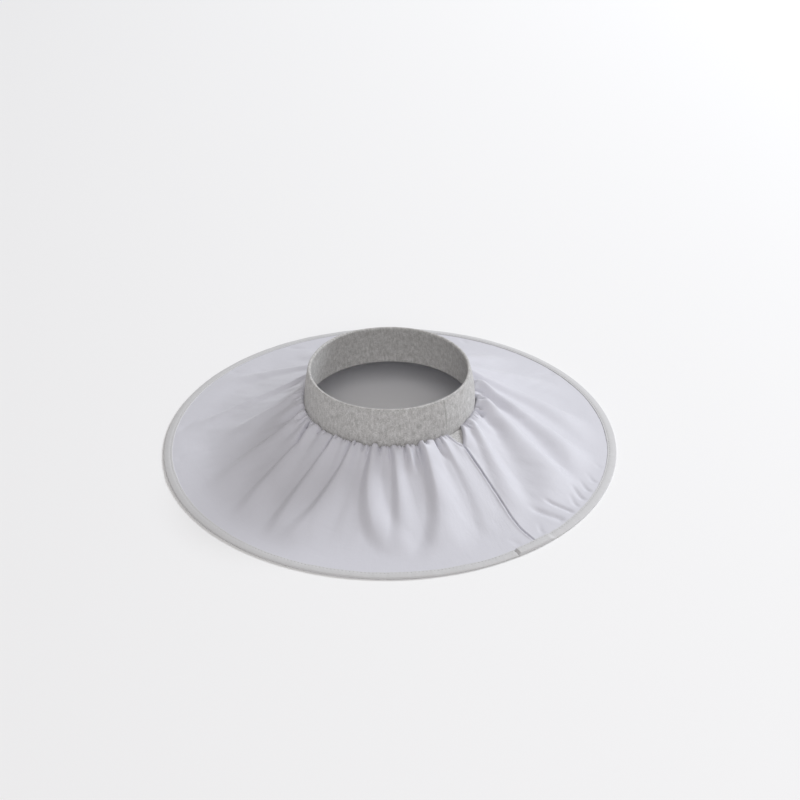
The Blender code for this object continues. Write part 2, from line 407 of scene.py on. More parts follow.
NICKS = (
    Nick(angle=-176, drift=10, reach=0.06, depth=0.5, width=0.9),
    Nick(angle=-170, drift=4, reach=0.24, depth=1.8, width=1.9),
    Nick(angle=-160, drift=0, reach=0.14, depth=1.3, width=1.0),
    Nick(angle=-153, drift=45, reach=0.24, depth=1.9, width=1.2),
    Nick(angle=-145, drift=0, reach=0.04, depth=0.4, width=0.7),
    Nick(angle=-139, drift=0, reach=0.06, depth=0.4, width=0.7),
    Nick(angle=-134, drift=0, reach=0.04, depth=0.3, width=0.6),
    Nick(angle=-128, drift=0, reach=0.18, depth=1.7, width=1.0),
    Nick(angle=-121, drift=0, reach=0.05, depth=0.4, width=0.7),
    Nick(angle=-115, drift=-6, reach=0.14, depth=0.7, width=0.8),
    Nick(angle=-110, drift=0, reach=0.04, depth=0.3, width=0.5),
    Nick(angle=-106, drift=6, reach=0.07, depth=0.7, width=0.7),
    Nick(angle=-103, drift=10, reach=0.20, depth=0.8, width=0.9),
    Nick(angle=-96, drift=0, reach=0.08, depth=1.0, width=0.7),
    Nick(angle=-90, drift=8, reach=0.16, depth=0.9, width=0.8),
    Nick(angle=-85, drift=0, reach=0.04, depth=0.4, width=0.5),
    Nick(angle=-81, drift=6, reach=0.16, depth=0.8, width=0.8),
    Nick(angle=-77, drift=0, reach=0.05, depth=0.5, width=0.5),
    Nick(angle=-73, drift=4, reach=0.24, depth=1.2, width=1.0),
    Nick(angle=-67, drift=0, reach=0.06, depth=0.9, width=0.8),
    Nick(angle=-60, drift=10, reach=0.18, depth=1.0, width=0.9),
    Nick(angle=-54, drift=0, reach=0.06, depth=0.5, width=0.6),
    Nick(angle=-51.9, drift=50, reach=0.16, depth=1.1, width=0.42),
    Nick(angle=-50.3, drift=50, reach=0.16, depth=0.8, width=0.30),
    Nick(angle=-34, drift=-10, reach=0.05, depth=0.6, width=0.6),
    Nick(angle=-31, drift=4, reach=0.08, depth=0.8, width=0.7),
    Nick(angle=-25, drift=0, reach=0.06, depth=0.6, width=0.7),
    Nick(angle=-19, drift=-10, reach=0.06, depth=0.6, width=0.7),
    Nick(angle=-13, drift=-25, reach=0.30, depth=0.9, width=2.8),
    Nick(angle=-13.5, drift=-10, reach=0.08, depth=1.9, width=0.7),
    Nick(angle=-9.5, drift=-10, reach=0.06, depth=1.4, width=0.5),
    Nick(angle=-4, drift=0, reach=0.06, depth=0.7, width=0.8),
    Nick(angle=2, drift=0, reach=0.05, depth=0.5, width=0.7),
    Nick(angle=9, drift=-25, reach=0.30, depth=1.0, width=2.8),
    Nick(angle=7, drift=-10, reach=0.09, depth=1.9, width=0.8),
    Nick(angle=20, drift=-10, reach=0.06, depth=0.6, width=0.8),
    Nick(angle=29, drift=-20, reach=0.18, depth=1.0, width=1.3),
    Nick(angle=38, drift=-10, reach=0.06, depth=0.5, width=0.7),
    Nick(angle=47, drift=-20, reach=0.16, depth=0.9, width=1.2),
    Nick(angle=56, drift=0, reach=0.06, depth=0.6, width=0.7),
    Nick(angle=64, drift=-14, reach=0.15, depth=0.9, width=1.0),
    Nick(angle=71, drift=0, reach=0.05, depth=0.5, width=0.6),
    Nick(angle=79, drift=-6, reach=0.16, depth=0.8, width=0.9),
    Nick(angle=86, drift=0, reach=0.06, depth=0.6, width=0.7),
    Nick(angle=92, drift=4, reach=0.14, depth=0.8, width=0.8),
    Nick(angle=99, drift=0, reach=0.05, depth=0.5, width=0.6),
    Nick(angle=105, drift=6, reach=0.17, depth=0.9, width=0.9),
    Nick(angle=113, drift=0, reach=0.06, depth=0.6, width=0.7),
    Nick(angle=121, drift=14, reach=0.15, depth=0.8, width=1.0),
    Nick(angle=129, drift=0, reach=0.05, depth=0.5, width=0.7),
    Nick(angle=137, drift=20, reach=0.18, depth=1.1, width=1.3),
    Nick(angle=147, drift=10, reach=0.06, depth=0.6, width=0.7),
    Nick(angle=156, drift=14, reach=0.14, depth=0.9, width=1.0),
    Nick(angle=166, drift=8, reach=0.07, depth=0.6, width=0.8),
    Nick(angle=175, drift=10, reach=0.12, depth=0.8, width=1.0),
)

PUCKERS = (
    Pucker(start=-190, end=-186, inner=0.80, depth=0.5, width=1.6),
    Pucker(start=-172, end=-171, inner=0.84, depth=0.3, width=1.2),
    Pucker(start=-57, end=-56, inner=0.82, depth=0.4, width=0.9),
    Pucker(start=-46, end=-48, inner=0.82, depth=0.5, width=0.7),
    Pucker(start=-43, end=-40.5, inner=0.68, depth=1.2, width=1.1),
    Pucker(start=-37.5, end=-36, inner=0.70, depth=1.1, width=0.7),
    Pucker(start=-30, end=-33, inner=0.80, depth=0.7, width=0.6),
    Pucker(start=-26, end=-29.5, inner=0.76, depth=1.0, width=0.7),
    Pucker(start=-22.5, end=-25.5, inner=0.80, depth=0.9, width=0.6),
    Pucker(start=-18, end=-21, inner=0.82, depth=0.7, width=0.6),
    Pucker(start=-12, end=-14, inner=0.84, depth=0.4, width=0.8),
    Pucker(start=38, end=36, inner=0.78, depth=0.6, width=1.2),
    Pucker(start=66, end=68, inner=0.82, depth=0.5, width=1.0),
    Pucker(start=92, end=91, inner=0.80, depth=0.6, width=1.1),
    Pucker(start=118, end=121, inner=0.78, depth=0.6, width=1.2),
    Pucker(start=141, end=142, inner=0.82, depth=0.4, width=1.0),
)


@dataclass(frozen=True)
class ConeForm:
    """The cone's shape, which every piece follows. Lengths are in metres, slopes and angles in degrees."""

    rim_radius: float
    neck_radius: float
    neck_height: float
    neck_slope: float = 32.0
    hem_slope: float = 11.0
    front_slope: float = 3.0
    neck_margin: float = 0.0016
    panel_thickness: float = 0.0010
    tape_thickness: float = 0.0006
    binding_width: float = 0.0083
    front_width: float = 0.0068
    binding_fold: float = 0.0022
    sole_width: float = 0.0022
    hem_margin: float = 0.0012
    fold_rise: float = 0.0042
    fold_datum: float = 0.45
    fold_half_rise: float = 0.75
    fold_neck_rise: float = 0.40
    fold_narrowing: float = 0.65
    gather_rise: float = 0.0005
    gather_count: int = 45
    puff_rise: float = 0.0021
    nick_depth: float = 0.0034
    slit_count: int = 64
    slit_depth: float = 0.0044
    pucker_depth: float = 0.0013
    roll_share: float = 0.020
    roll_depth: float = 0.0014
    roll_pull: float = 0.0019
    seam: SideSeam = SideSeam()
    seam_depth: float = 0.0018
    seam_width: float = 0.00040
    seam_lip: float = 0.00050
    seam_sway: float = 0.00010
    seam_fade: float = 0.006
    notch_centre: float = -44.3
    notch_left: float = 5.5
    notch_right: float = 8.5
    notch_share: float = 0.105

    @property
    def binding_thickness(self) -> float:
        """The folded tape's thickness with the panel in it."""
        return 2.0 * self.tape_thickness + self.panel_thickness

    @property
    def neck_edge(self) -> float:
        """The radius of the outer face at the neck."""
        return self.neck_radius + self.neck_margin

    def frontness(self, angle: Array) -> Array:
        """How near an angle is to the front: the squared squared cosine of half the turn from it."""
        return np.cos(np.radians(turn_between(angle, -90.0)) / 2.0) ** 4

    def slope_at(self, angle: Array) -> Array:
        """The hem's slope in radians, which is flatter at the front."""
        return np.radians(self.hem_slope + (self.front_slope - self.hem_slope) * self.frontness(angle))

    def width_at(self, angle: Array) -> Array:
        """The binding's width, which is narrower at the front."""
        return self.binding_width + (self.front_width - self.binding_width) * self.frontness(angle)

    def hem_point(self, depth: Array, lift: Array, angle: Array) -> tuple[Array, Array]:
        """Radius and height of a point near the rim.

        The radius is the rim's less the depth's and plus the lift's share along the hem's slope. The height
        is that of the rim's middle, which leaves the binding's lower side a flat sole at the surface, plus
        both rises.

        Args:
            depth: distances in from the rim's outer edge along the hem's slope.
            lift: distances off the middle plane that panel and binding share.
            angle: angles in degrees.

        Returns:
            The radius and the height.
        """
        slope = self.slope_at(angle)
        half = self.binding_thickness / 2.0
        tip = half * np.cos(slope) - (half / 2.0 + self.sole_width) * np.sin(slope)
        radius = self.rim_radius - depth * np.cos(slope) + lift * np.sin(slope)
        height = tip + depth * np.sin(slope) + lift * np.cos(slope)
        return radius, height

    def mouth(self, angle: Array) -> tuple[Array, Array]:
        """Radius and height at which the outer face meets the binding."""
        return self.hem_point(self.width_at(angle) + self.hem_margin, self.panel_thickness / 2.0, angle)

    def edge(self, angle: Array) -> tuple[Array, Array]:
        """Radius and height of the outer face's edge inside the binding."""
        return self.hem_point(self.binding_fold, self.panel_thickness / 2.0, angle)

    def mouth_share(self, angle: Array) -> Array:
        """The share of the way out at which the panel meets the binding."""
        return (self.mouth(angle)[0] - self.neck_edge) / (self.edge(angle)[0] - self.neck_edge)

    def profile(self, angle: Array, share: Array) -> tuple[Array, Array]:
        """Radius and height of the smooth outer face.

        A Hermite curve leaves the neck at its slope and meets the hem's slope at the binding, and the stretch
        inside the binding is straight.

        Args:
            angle: angles in degrees.
            share: shares of the way from neck to hem.

        Returns:
            The radius and the height at each place.
        """
        start = self.neck_edge
        edge, _ = self.edge(angle)
        meet, height_there = self.mouth(angle)
        hem_rise = np.tan(self.slope_at(angle))
        radius = start + (edge - start) * share
        run = meet - start
        t = np.clip((radius - start) / run, 0.0, 1.0)
        neck_pull = -math.tan(math.radians(self.neck_slope)) * run
        hem_pull = -hem_rise * run
        curve = (
            (2 * t**3 - 3 * t**2 + 1) * self.neck_height
            + (t**3 - 2 * t**2 + t) * neck_pull
            + (3 * t**2 - 2 * t**3) * height_there
            + (t**3 - t**2) * hem_pull
        )
        straight = height_there - (radius - meet) * hem_rise
        return radius, np.where(radius < meet, curve, straight)

    def folds(self, angle: Array, share: Array) -> Array:
        """Height of the folds: the sum of squared cosines across each ridge, less the level between them.

        A ridge's flanks narrow towards the neck. It rises from the neck's stitching and runs out at its
        reach.

        Args:
            angle: angles in degrees.
            share: shares of the way from neck to hem.

        Returns:
            Heights in metres.
        """
        narrowing = self.fold_narrowing + (1.0 - self.fold_narrowing) * 2.0 * share
        total = np.full_like(angle, -self.fold_datum)
        for fold in FOLDS:
            turn = turn_between(angle, fold.angle(share))
            across = np.clip(turn / np.where(turn < 0.0, fold.left, fold.right) / narrowing, -1.0, 1.0)
            along = 1.0 - smooth_step(share, 0.55 * fold.reach, 1.05 * fold.reach)
            total = total + fold.rise * along * np.cos(across * math.pi / 2.0) ** 2
        rising = self.fold_neck_rise + (1.0 - self.fold_neck_rise) * smooth_step(share, 0.0, 0.09)
        fading = 1.0 - (1.0 - self.fold_half_rise) * smooth_step(share, 0.0, 0.5)
        return self.fold_rise * rising * fading * total

    def gathers(self, angle: Array, share: Array) -> Array:
        """Height of the cloth that puffs out beyond the gather line: an even puff with an uneven wave on it.

        Args:
            angle: angles in degrees.
            share: shares of the way from neck to hem.

        Returns:
            Heights in metres.
        """
        turn = np.radians(angle)
        phase = self.gather_count * turn + 1.1 * np.sin(3.0 * turn) + 0.9 * np.sin(7.0 * turn + 0.6)
        wave = self.gather_rise * np.cos(phase) * (1.0 - smooth_step(share, 0.05, 0.25))
        return self.puff_rise * (1.0 - smooth_step(share, 0.04, 0.2)) + wave

    def valleys(self, angle: Array, share: Array) -> Array:
        """Depth of the nicks and of chance slits between them.

        Each is a bell-shaped valley that widens and runs out on its way.

        Args:
            angle: angles in degrees.
            share: shares of the way from neck to hem.

        Returns:
            Depths in metres.
        """
        total = np.zeros_like(angle)
        for nick in NICKS:
            across = turn_between(angle, nick.angle + nick.drift * share)
            widening = nick.width * (1.0 + 1.8 * share / nick.reach)
            along = 1.0 - smooth_step(share, 0.15 * nick.reach, nick.reach)
            total = total + self.nick_depth * nick.depth * along * np.exp(-((across / widening) ** 2))
        chance = np.random.default_rng(5)
        shifts = chance.uniform(-0.35, 0.35, self.slit_count)
        places = (np.arange(self.slit_count) + shifts) * 360.0 / self.slit_count
        depths = self.slit_depth * chance.uniform(0.3, 1.0, self.slit_count)
        widths = chance.uniform(0.38, 0.60, self.slit_count)
        reaches = chance.uniform(0.03, 0.09, self.slit_count)
        for place, depth, width, reach in zip(places, depths, widths, reaches):
            across = turn_between(angle, place)
            along = 1.0 - smooth_step(share, 0.3 * reach, reach)
            total = total + depth * along * np.exp(-((across / width) ** 2))
        return total

    def puckers(self, angle: Array, share: Array) -> Array:
        """Depth of the hem's puckers: bell-shaped dips that deepen towards the binding.

        Args:
            angle: angles in degrees.
            share: shares of the way from neck to hem.

        Returns:
            Heights in metres, none above 0.
        """
        total = np.zeros_like(angle)
        mouth = self.mouth_share(angle)
        ending = 1.0 - smooth_step(share, mouth - 0.03, mouth)
        for pucker in PUCKERS:
            along = smooth_step(share, pucker.inner, 0.92)
            line = pucker.start + (pucker.end - pucker.start) * along
            near = smooth_step(share, pucker.inner, pucker.inner + 0.08)
            bell = np.exp(-((turn_between(angle, line) / pucker.width) ** 2))
            total = total - self.pucker_depth * pucker.depth * near * ending * bell
        return total

    def wrinkles(self, angle: Array, share: Array) -> Array:
        """Slight unevenness of the cloth: chance relief at three scales, drawn out from the neck to the hem.

        Args:
            angle: angles in degrees.
            share: shares of the way from neck to hem.

        Returns:
            Heights in metres.
        """
        lean = 0.045 * np.sin(np.radians(angle - 90.0)) * share
        around = angle / 360.0 + lean
        total = sum(relief.level(around, share) for relief in PANEL_RELIEF)
        return total * smooth_step(share, 0.02, 0.2)

    def seam_crease(self, angle: Array, share: Array) -> Array:
        """The side seam: a groove, gentle on its left and steep on its right, with both sides raised.

        Its two halves are half bells of different widths. It is deeper near the neck, and sways and swells a
        little where the stitches draw the cloth in.

        Args:
            angle: angles in degrees.
            share: shares of the way from neck to hem.

        Returns:
            Heights in metres.
        """
        radius, _ = self.profile(angle, share)
        drawn = np.sin(2.0 * math.pi * share * 29.0 + 1.7 * np.sin(23.0 * share))
        sway = self.seam_sway * (drawn + np.sin(2.0 * math.pi * share * 9.0 + 0.7))
        off = np.radians(turn_between(angle, self.seam.angle(share))) * radius + sway
        nearness = 1.0 - smooth_step(share, 0.15, 0.5)
        deepness = (1.0 + 0.9 * nearness) * (1.0 + 0.15 * drawn)
        width = self.seam_width * np.where(off < 0.0, 1.9 + 0.5 * nearness, 0.75 + 0.35 * nearness)
        groove = -self.seam_depth * np.exp(-((off / width) ** 2))
        left_lip = self.seam_lip * np.exp(-(((off + 4.5 * self.seam_width) / (3.0 * self.seam_width)) ** 2))
        easing = np.exp(-np.abs(off) / self.seam_fade)
        right_step = self.seam_lip * easing * smooth_step(off, 0.0, 2.0 * self.seam_width)
        ending = 1.0 - smooth_step(share, self.mouth_share(angle) - 0.02, self.mouth_share(angle))
        return ending * deepness * (groove + left_lip + right_step)

    def notch(self, angle: Array) -> Array:
        """The share at which the panel's neck edge lies: 0, but in a V where the seam meets the neck.

        Args:
            angle: angles in degrees.

        Returns:
            Shares of the way from neck to hem.
        """
        turn = turn_between(angle, self.notch_centre)
        side = np.where(turn < 0.0, self.notch_left, self.notch_right)
        return self.notch_share * np.clip(1.0 - np.abs(turn) / side, 0.0, 1.0) ** 0.9

    def face(self, angle: Array, share: Array) -> Array:
        """Points of the panel's outer face, with all of its relief.

        Args:
            angle: angles in degrees.
            share: shares of the way from neck to hem.

        Returns:
            A grid of points in metres.
        """
        radius, height = self.profile(angle, share)
        off_edge = np.clip((share - self.notch(angle)) / self.roll_share, 0.0, 1.0)
        pinned = np.sqrt(1.0 - (1.0 - off_edge) ** 2)
        relief = (
            self.folds(angle, share)
            + self.gathers(angle, share)
            + self.wrinkles(angle, share)
        )
        relief = pinned * relief - (0.35 + 0.65 * pinned) * self.valleys(angle, share)
        flat = 1.0 - smooth_step(share / self.mouth_share(angle), 0.7, 1.0)
        roll = self.roll_depth * (1.0 - pinned)
        pulled = radius - self.roll_pull * (1.0 - off_edge) ** 2
        sewn = self.puckers(angle, share) + pinned * self.seam_crease(angle, share)
        return round_axis(pulled, angle, height + flat * relief + sewn - roll)

    def columns(self, count: int, crowding: float, share: Array) -> Array:
        """Angles of a grid's columns, which follow the seam near it and lie closer together there.

        Evenly spaced turns less the crowding's share of their sine give the spacing, and the seam's lean
        fades out within 25 degrees of it.

        Args:
            count: how many columns.
            crowding: 0 for even columns, towards 1 for columns that crowd at the seam.
            share: one share for each row.

        Returns:
            A grid of angles in degrees, a row for each share.
        """
        even = np.arange(count) / count
        turn = 360.0 * (even - crowding * np.sin(2.0 * math.pi * even) / (2.0 * math.pi))
        nearness = np.clip(1.0 - np.abs(turn_between(turn, 0.0)) / 25.0, 0.0, 1.0)
        middle = self.seam.neck + 0.5 * self.seam.swing
        lean = self.seam.angle(share) - middle
        return middle + turn[None, :] + lean[:, None] * nearness[None, :]


class Shader:
    """A short way to add nodes to one node tree."""

    def __init__(self, tree: bpy.types.NodeTree) -> None:
        """Keeps the tree that the nodes go into."""
        self.tree = tree

    def node(self, kind: str, **settings: object) -> bpy.types.Node:
        """Adds a node and sets its own settings.

        Args:
            kind: the node's type name.
            settings: names and values of the node's settings.

        Returns:
            The new node.
        """
        made = self.tree.nodes.new(kind)
        for name, value in settings.items():
            setattr(made, name, value)
        return made

    def link(self, source: bpy.types.NodeSocket, target: bpy.types.NodeSocket) -> None:
        """Joins an output to an input."""
        self.tree.links.new(source, target)

    def feed(self, socket: bpy.types.NodeSocket, value: object) -> None:
        """Joins an output to a socket, or sets the socket where the value is a number or a colour."""
        if isinstance(value, bpy.types.NodeSocket):
            self.link(value, socket)
        else:
            socket.default_value = value

    def maths(self, operation: str, *values: object) -> bpy.types.NodeSocket:
        """One sum on sockets and numbers.

        Args:
            operation: the Math node's operation.
            values: its inputs in order.

        Returns:
            The result's socket.
        """
        made = self.node("ShaderNodeMath", operation=operation)
        for socket, value in zip(made.inputs, values):
            self.feed(socket, value)
        return made.outputs[0]

    def mix(self, share: object, first: object, second: object, blend: str = "MIX") -> bpy.types.NodeSocket:
        """A mix of two colours.

        Args:
            share: the second colour's share.
            first: a colour or a socket.
            second: a colour or a socket.
            blend: the way of mixing.

        Returns:
            The mixed colour's socket.
        """
        made = self.node("ShaderNodeMix", data_type="RGBA", blend_type=blend)
        self.feed(made.inputs["Factor"], share)
        self.feed(made.inputs["A"], first)
        self.feed(made.inputs["B"], second)
        return made.outputs["Result"]

    def noise(self, vector: object, scale: float, detail: float = 2.0) -> bpy.types.NodeSocket:
        """Smooth noise from 0 to 1.

        Args:
            vector: the coordinates' socket.
            scale: cells a metre.
            detail: how many finer layers.

        Returns:
            The noise's value socket.
        """
        made = self.node("ShaderNodeTexNoise")
        self.feed(made.inputs["Vector"], vector)
        made.inputs["Scale"].default_value = scale
        made.inputs["Detail"].default_value = detail
        return made.outputs["Fac"]

    def stretched(self, vector: object, scale: Sequence[float]) -> bpy.types.NodeSocket:
        """Coordinates multiplied axis by axis.

        Args:
            vector: the coordinates' socket.
            scale: three factors.

        Returns:
            The new coordinates' socket.
        """
        made = self.node("ShaderNodeMapping")
        self.feed(made.inputs["Vector"], vector)
        made.inputs["Scale"].default_value = tuple(scale)
        return made.outputs["Vector"]


def group(name: str, inputs: dict[str, float], outputs: Sequence[str]) -> tuple[Shader, dict, dict]:
    """A new shader node group with float inputs, a cloth coordinate and float outputs.

    Args:
        name: the group's name.
        inputs: names and defaults of its float inputs.
        outputs: names of its float outputs.

    Returns:
        Its shader helper, its input sockets inside by name, and its output sockets inside by name.
    """
    tree = bpy.data.node_groups.new(name, "ShaderNodeTree")
    tree.interface.new_socket("Cloth", in_out="INPUT", socket_type="NodeSocketVector")
    for label, value in inputs.items():
        made = tree.interface.new_socket(label, in_out="INPUT", socket_type="NodeSocketFloat")
        made.default_value = value
    for label in outputs:
        tree.interface.new_socket(label, in_out="OUTPUT", socket_type="NodeSocketFloat")
    shader = Shader(tree)
    entry = shader.node("NodeGroupInput")
    leaving = shader.node("NodeGroupOutput")
    return shader, dict(entry.outputs.items()), dict(leaving.inputs.items())


def weave_group() -> bpy.types.NodeTree:
    """Plain weave: the height is the product of two sines, one across the warp and one across the weft.

    Slubs are noise drawn out along each thread direction. The height and the slubs come out from 0 to 1.

    Returns:
        The node group.
    """
    shader, inside, out = group("plain_weave", {"Pitch": 0.0004, "Slub": 0.5}, ("Height", "Slubs"))
    split = shader.node("ShaderNodeSeparateXYZ")
    shader.link(inside["Cloth"], split.inputs[0])
    turns = shader.maths("DIVIDE", math.pi, inside["Pitch"])
    warp = shader.maths("SINE", shader.maths("MULTIPLY", split.outputs["X"], turns))
    weft = shader.maths("SINE", shader.maths("MULTIPLY", split.outputs["Y"], turns))
    height = shader.maths("MULTIPLY_ADD", shader.maths("MULTIPLY", warp, weft), 0.5, 0.5)
    shader.link(height, out["Height"])
    along_warp = shader.noise(shader.stretched(inside["Cloth"], (1.0, 0.03, 1.0)), 1400.0, 1.0)
    along_weft = shader.noise(shader.stretched(inside["Cloth"], (0.03, 1.0, 1.0)), 1400.0, 1.0)
    slubs = shader.maths("MULTIPLY_ADD", along_warp, 0.5, shader.maths("MULTIPLY", along_weft, 0.5))
    centred = shader.maths("MULTIPLY_ADD", shader.maths("SUBTRACT", slubs, 0.5), inside["Slub"], 0.5)
    shader.link(centred, out["Slubs"])
    return shader.tree


def knit_group() -> bpy.types.NodeTree:
    """Jersey knit: columns of V-shaped loops.

    Across a column the distance from its middle runs from 0 to 1. A leg's height is the sine of that
    distance, times a cosine along the column that lags by three quarters of a course from the middle to the
    edge.

    Returns:
        The node group.
    """
    shader, inside, out = group("jersey_knit", {"Wale": 0.0014, "Course": 0.0011}, ("Height", "Groove"))
    split = shader.node("ShaderNodeSeparateXYZ")
    shader.link(inside["Cloth"], split.inputs[0])
    across = shader.maths("FRACT", shader.maths("DIVIDE", split.outputs["X"], inside["Wale"]))
    off = shader.maths("ABSOLUTE", shader.maths("MULTIPLY_ADD", across, 2.0, -1.0))
    leg = shader.maths("POWER", shader.maths("SINE", shader.maths("MULTIPLY", off, math.pi)), 0.6)
    course = shader.maths("DIVIDE", split.outputs["Y"], inside["Course"])
    lagged = shader.maths("MULTIPLY_ADD", off, 0.75, course)
    wave = shader.maths("COSINE", shader.maths("MULTIPLY", lagged, 2.0 * math.pi))
    strand = shader.maths("MULTIPLY_ADD", wave, 0.35, 0.65)
    height = shader.maths("MULTIPLY", leg, strand)
    shader.link(height, out["Height"])
    # The groove's depth between the loops, which the knit finish uses to paint shade into the grooves.
    shader.link(shader.maths("SUBTRACT", 1.0, height), out["Groove"])
    return shader.tree


def heather_group() -> bpy.types.NodeTree:
    """Heather: dark and light fibres, as noise drawn out along the yarn with soft clouds over it.

    Returns:
        The node group.
    """
    shader, inside, out = group("heather_fibres", {"Contrast": 1.0}, ("Fibres",))
    short = shader.noise(shader.stretched(inside["Cloth"], (1.0, 0.7, 1.0)), 1300.0, 2.0)
    long = shader.noise(shader.stretched(inside["Cloth"], (1.0, 0.45, 1.0)), 520.0, 3.0)
    clouds = shader.noise(shader.stretched(inside["Cloth"], (1.0, 0.8, 1.0)), 230.0, 2.0)
    fine = shader.maths("MULTIPLY_ADD", short, 0.40, shader.maths("MULTIPLY", long, 0.35))
    both = shader.maths("MULTIPLY_ADD", clouds, 0.25, fine)
    spread = shader.maths("MULTIPLY", shader.maths("SUBTRACT", both, 0.5), inside["Contrast"])
    mask = shader.maths("MULTIPLY_ADD", spread, 3.0, 0.5)
    clamped = shader.node("ShaderNodeClamp")
    shader.link(mask, clamped.inputs[0])
    shader.link(clamped.outputs[0], out["Fibres"])
    return shader.tree


def crumple_group() -> bpy.types.NodeTree:
    """Fine handling marks: soft noise of two sizes, which come out as one height from 0 to 1.

    Returns:
        The node group.
    """
    shader, inside, out = group("soft_crumple", {"Size": 0.012}, ("Height",))
    cells = shader.maths("DIVIDE", 1.0, inside["Size"])
    broad = shader.node("ShaderNodeTexNoise")
    shader.link(inside["Cloth"], broad.inputs["Vector"])
    shader.link(cells, broad.inputs["Scale"])
    broad.inputs["Detail"].default_value = 3.0
    broad.inputs["Distortion"].default_value = 0.6
    shader.link(broad.outputs["Fac"], out["Height"])
    return shader.tree


@dataclass(frozen=True)
class ClothFinish:
    """What every cloth finish shares: its name, colour, shade colour (a chance darker tone on the woven cloth
    and tape, painted shade on the knit and the thread), roughness and the sheen of its fibres.
    """

    name: str
    colour: Colour
    shade: Colour
    roughness: float
    sheen: float
    sheen_roughness: float

    def start(self) -> tuple[bpy.types.Material, Shader, bpy.types.Node, bpy.types.NodeSocket]:
        """A material with its Principled shader set, and the cloth's coordinates.

        Returns:
            The material, its shader helper, the Principled node and the UV socket in metres.
        """
        material = bpy.data.materials.new(self.name)
        material.use_nodes = True
        shader = Shader(material.node_tree)
        principled = material.node_tree.nodes["Principled BSDF"]
        principled.inputs["Roughness"].default_value = self.roughness
        principled.inputs["Sheen Weight"].default_value = self.sheen
        principled.inputs["Sheen Roughness"].default_value = self.sheen_roughness
        principled.inputs["Specular IOR Level"].default_value = 0.35
        cloth = shader.node("ShaderNodeUVMap", uv_map="cloth_metres").outputs["UV"]
        return material, shader, principled, cloth

    def use(self, shader: Shader, tree: bpy.types.NodeTree, cloth: object, **values: float) -> bpy.types.Node:
        """Places a node group in the material with its own values.

        Args:
            shader: the material's shader helper.
            tree: the node group.
            cloth: the coordinates' socket.
            values: names and values of the group's inputs.

        Returns:
            The group's node.
        """
        made = shader.node("ShaderNodeGroup", node_tree=tree)
        shader.feed(made.inputs["Cloth"], cloth)
        for name, value in values.items():
            made.inputs[name].default_value = value
        return made

    def bump(
        self, shader: Shader, height: object, distance: float, strength: float, before: object = None
    ) -> bpy.types.NodeSocket:
        """A bump on top of an earlier one.

        Args:
            shader: the material's shader helper.
            height: the height's socket, from 0 to 1.
            distance: what a height of 1 measures in metres.
            strength: the bump's strength.
            before: the earlier normal's socket, or None.

        Returns:
            The new normal's socket.
        """
        made = shader.node("ShaderNodeBump")
        made.inputs["Distance"].default_value = distance
        made.inputs["Strength"].default_value = strength
        shader.feed(made.inputs["Height"], height)
        if before is not None:
            shader.link(before, made.inputs["Normal"])
        return made.outputs["Normal"]

    def colour4(self, colour: Colour) -> tuple[float, float, float, float]:
        """The colour with an alpha of 1."""
        return (*colour, 1.0)


@dataclass(frozen=True)
class WovenFinish(ClothFinish):
    """Smooth plain-woven cloth."""

    pitch: float = 0.00042

    def build(self, weave: bpy.types.NodeTree, crumple: bpy.types.NodeTree) -> bpy.types.Material:
        """Threads as bump and a slight change of colour, over soft handling marks.

        Args:
            weave: the plain weave group.
            crumple: the handling marks group.

        Returns:
            The material.
        """
        material, shader, principled, cloth = self.start()
        threads = self.use(shader, weave, cloth, Pitch=self.pitch, Slub=1.0)
        marks = self.use(shader, crumple, cloth, Size=0.014)
        clouds = shader.noise(cloth, 18.0, 2.0)
        slubbed = shader.mix(threads.outputs["Slubs"], self.colour4(self.shade), self.colour4(self.colour))
        tinted = shader.mix(clouds, self.colour4(self.shade), self.colour4(self.colour))
        shader.link(shader.mix(0.5, slubbed, tinted), principled.inputs["Base Color"])
        soft = self.bump(shader, marks.outputs["Height"], 0.0006, 0.35)
        fine = self.bump(shader, threads.outputs["Height"], 0.00005, 0.35, soft)
        shader.link(fine, principled.inputs["Normal"])
        return material


@dataclass(frozen=True)
class KnitFinish(ClothFinish):
    """Matt heather jersey."""

    fleck: Colour = (0.5, 0.5, 0.5)
    wale: float = 0.0014
    course: float = 0.0011

    def build(self, knit: bpy.types.NodeTree, heather: bpy.types.NodeTree) -> bpy.types.Material:
        """Loops as bump, with painted shade that darkens the grooves between them, and light and dark fibres.

        Args:
            knit: the jersey group.
            heather: the heather group.

        Returns:
            The material.
        """
        material, shader, principled, cloth = self.start()
        loops = self.use(shader, knit, cloth, Wale=self.wale, Course=self.course)
        fibres = self.use(shader, heather, cloth, Contrast=1.5)
        mottled = shader.mix(fibres.outputs["Fibres"], self.colour4(self.colour), self.colour4(self.fleck))
        # Painted shade: the colour is mixed towards the shade colour in the grooves between the loops.
        groove_painted_shade = shader.maths("MULTIPLY", loops.outputs["Groove"], 0.45)
        shader.link(shader.mix(groove_painted_shade, mottled, self.colour4(self.shade)), principled.inputs["Base Color"])
        fuzz = self.bump(shader, fibres.outputs["Fibres"], 0.00012, 0.5)
        looped = self.bump(shader, loops.outputs["Height"], 0.0003, 0.6, fuzz)
        shader.link(looped, principled.inputs["Normal"])
        return material


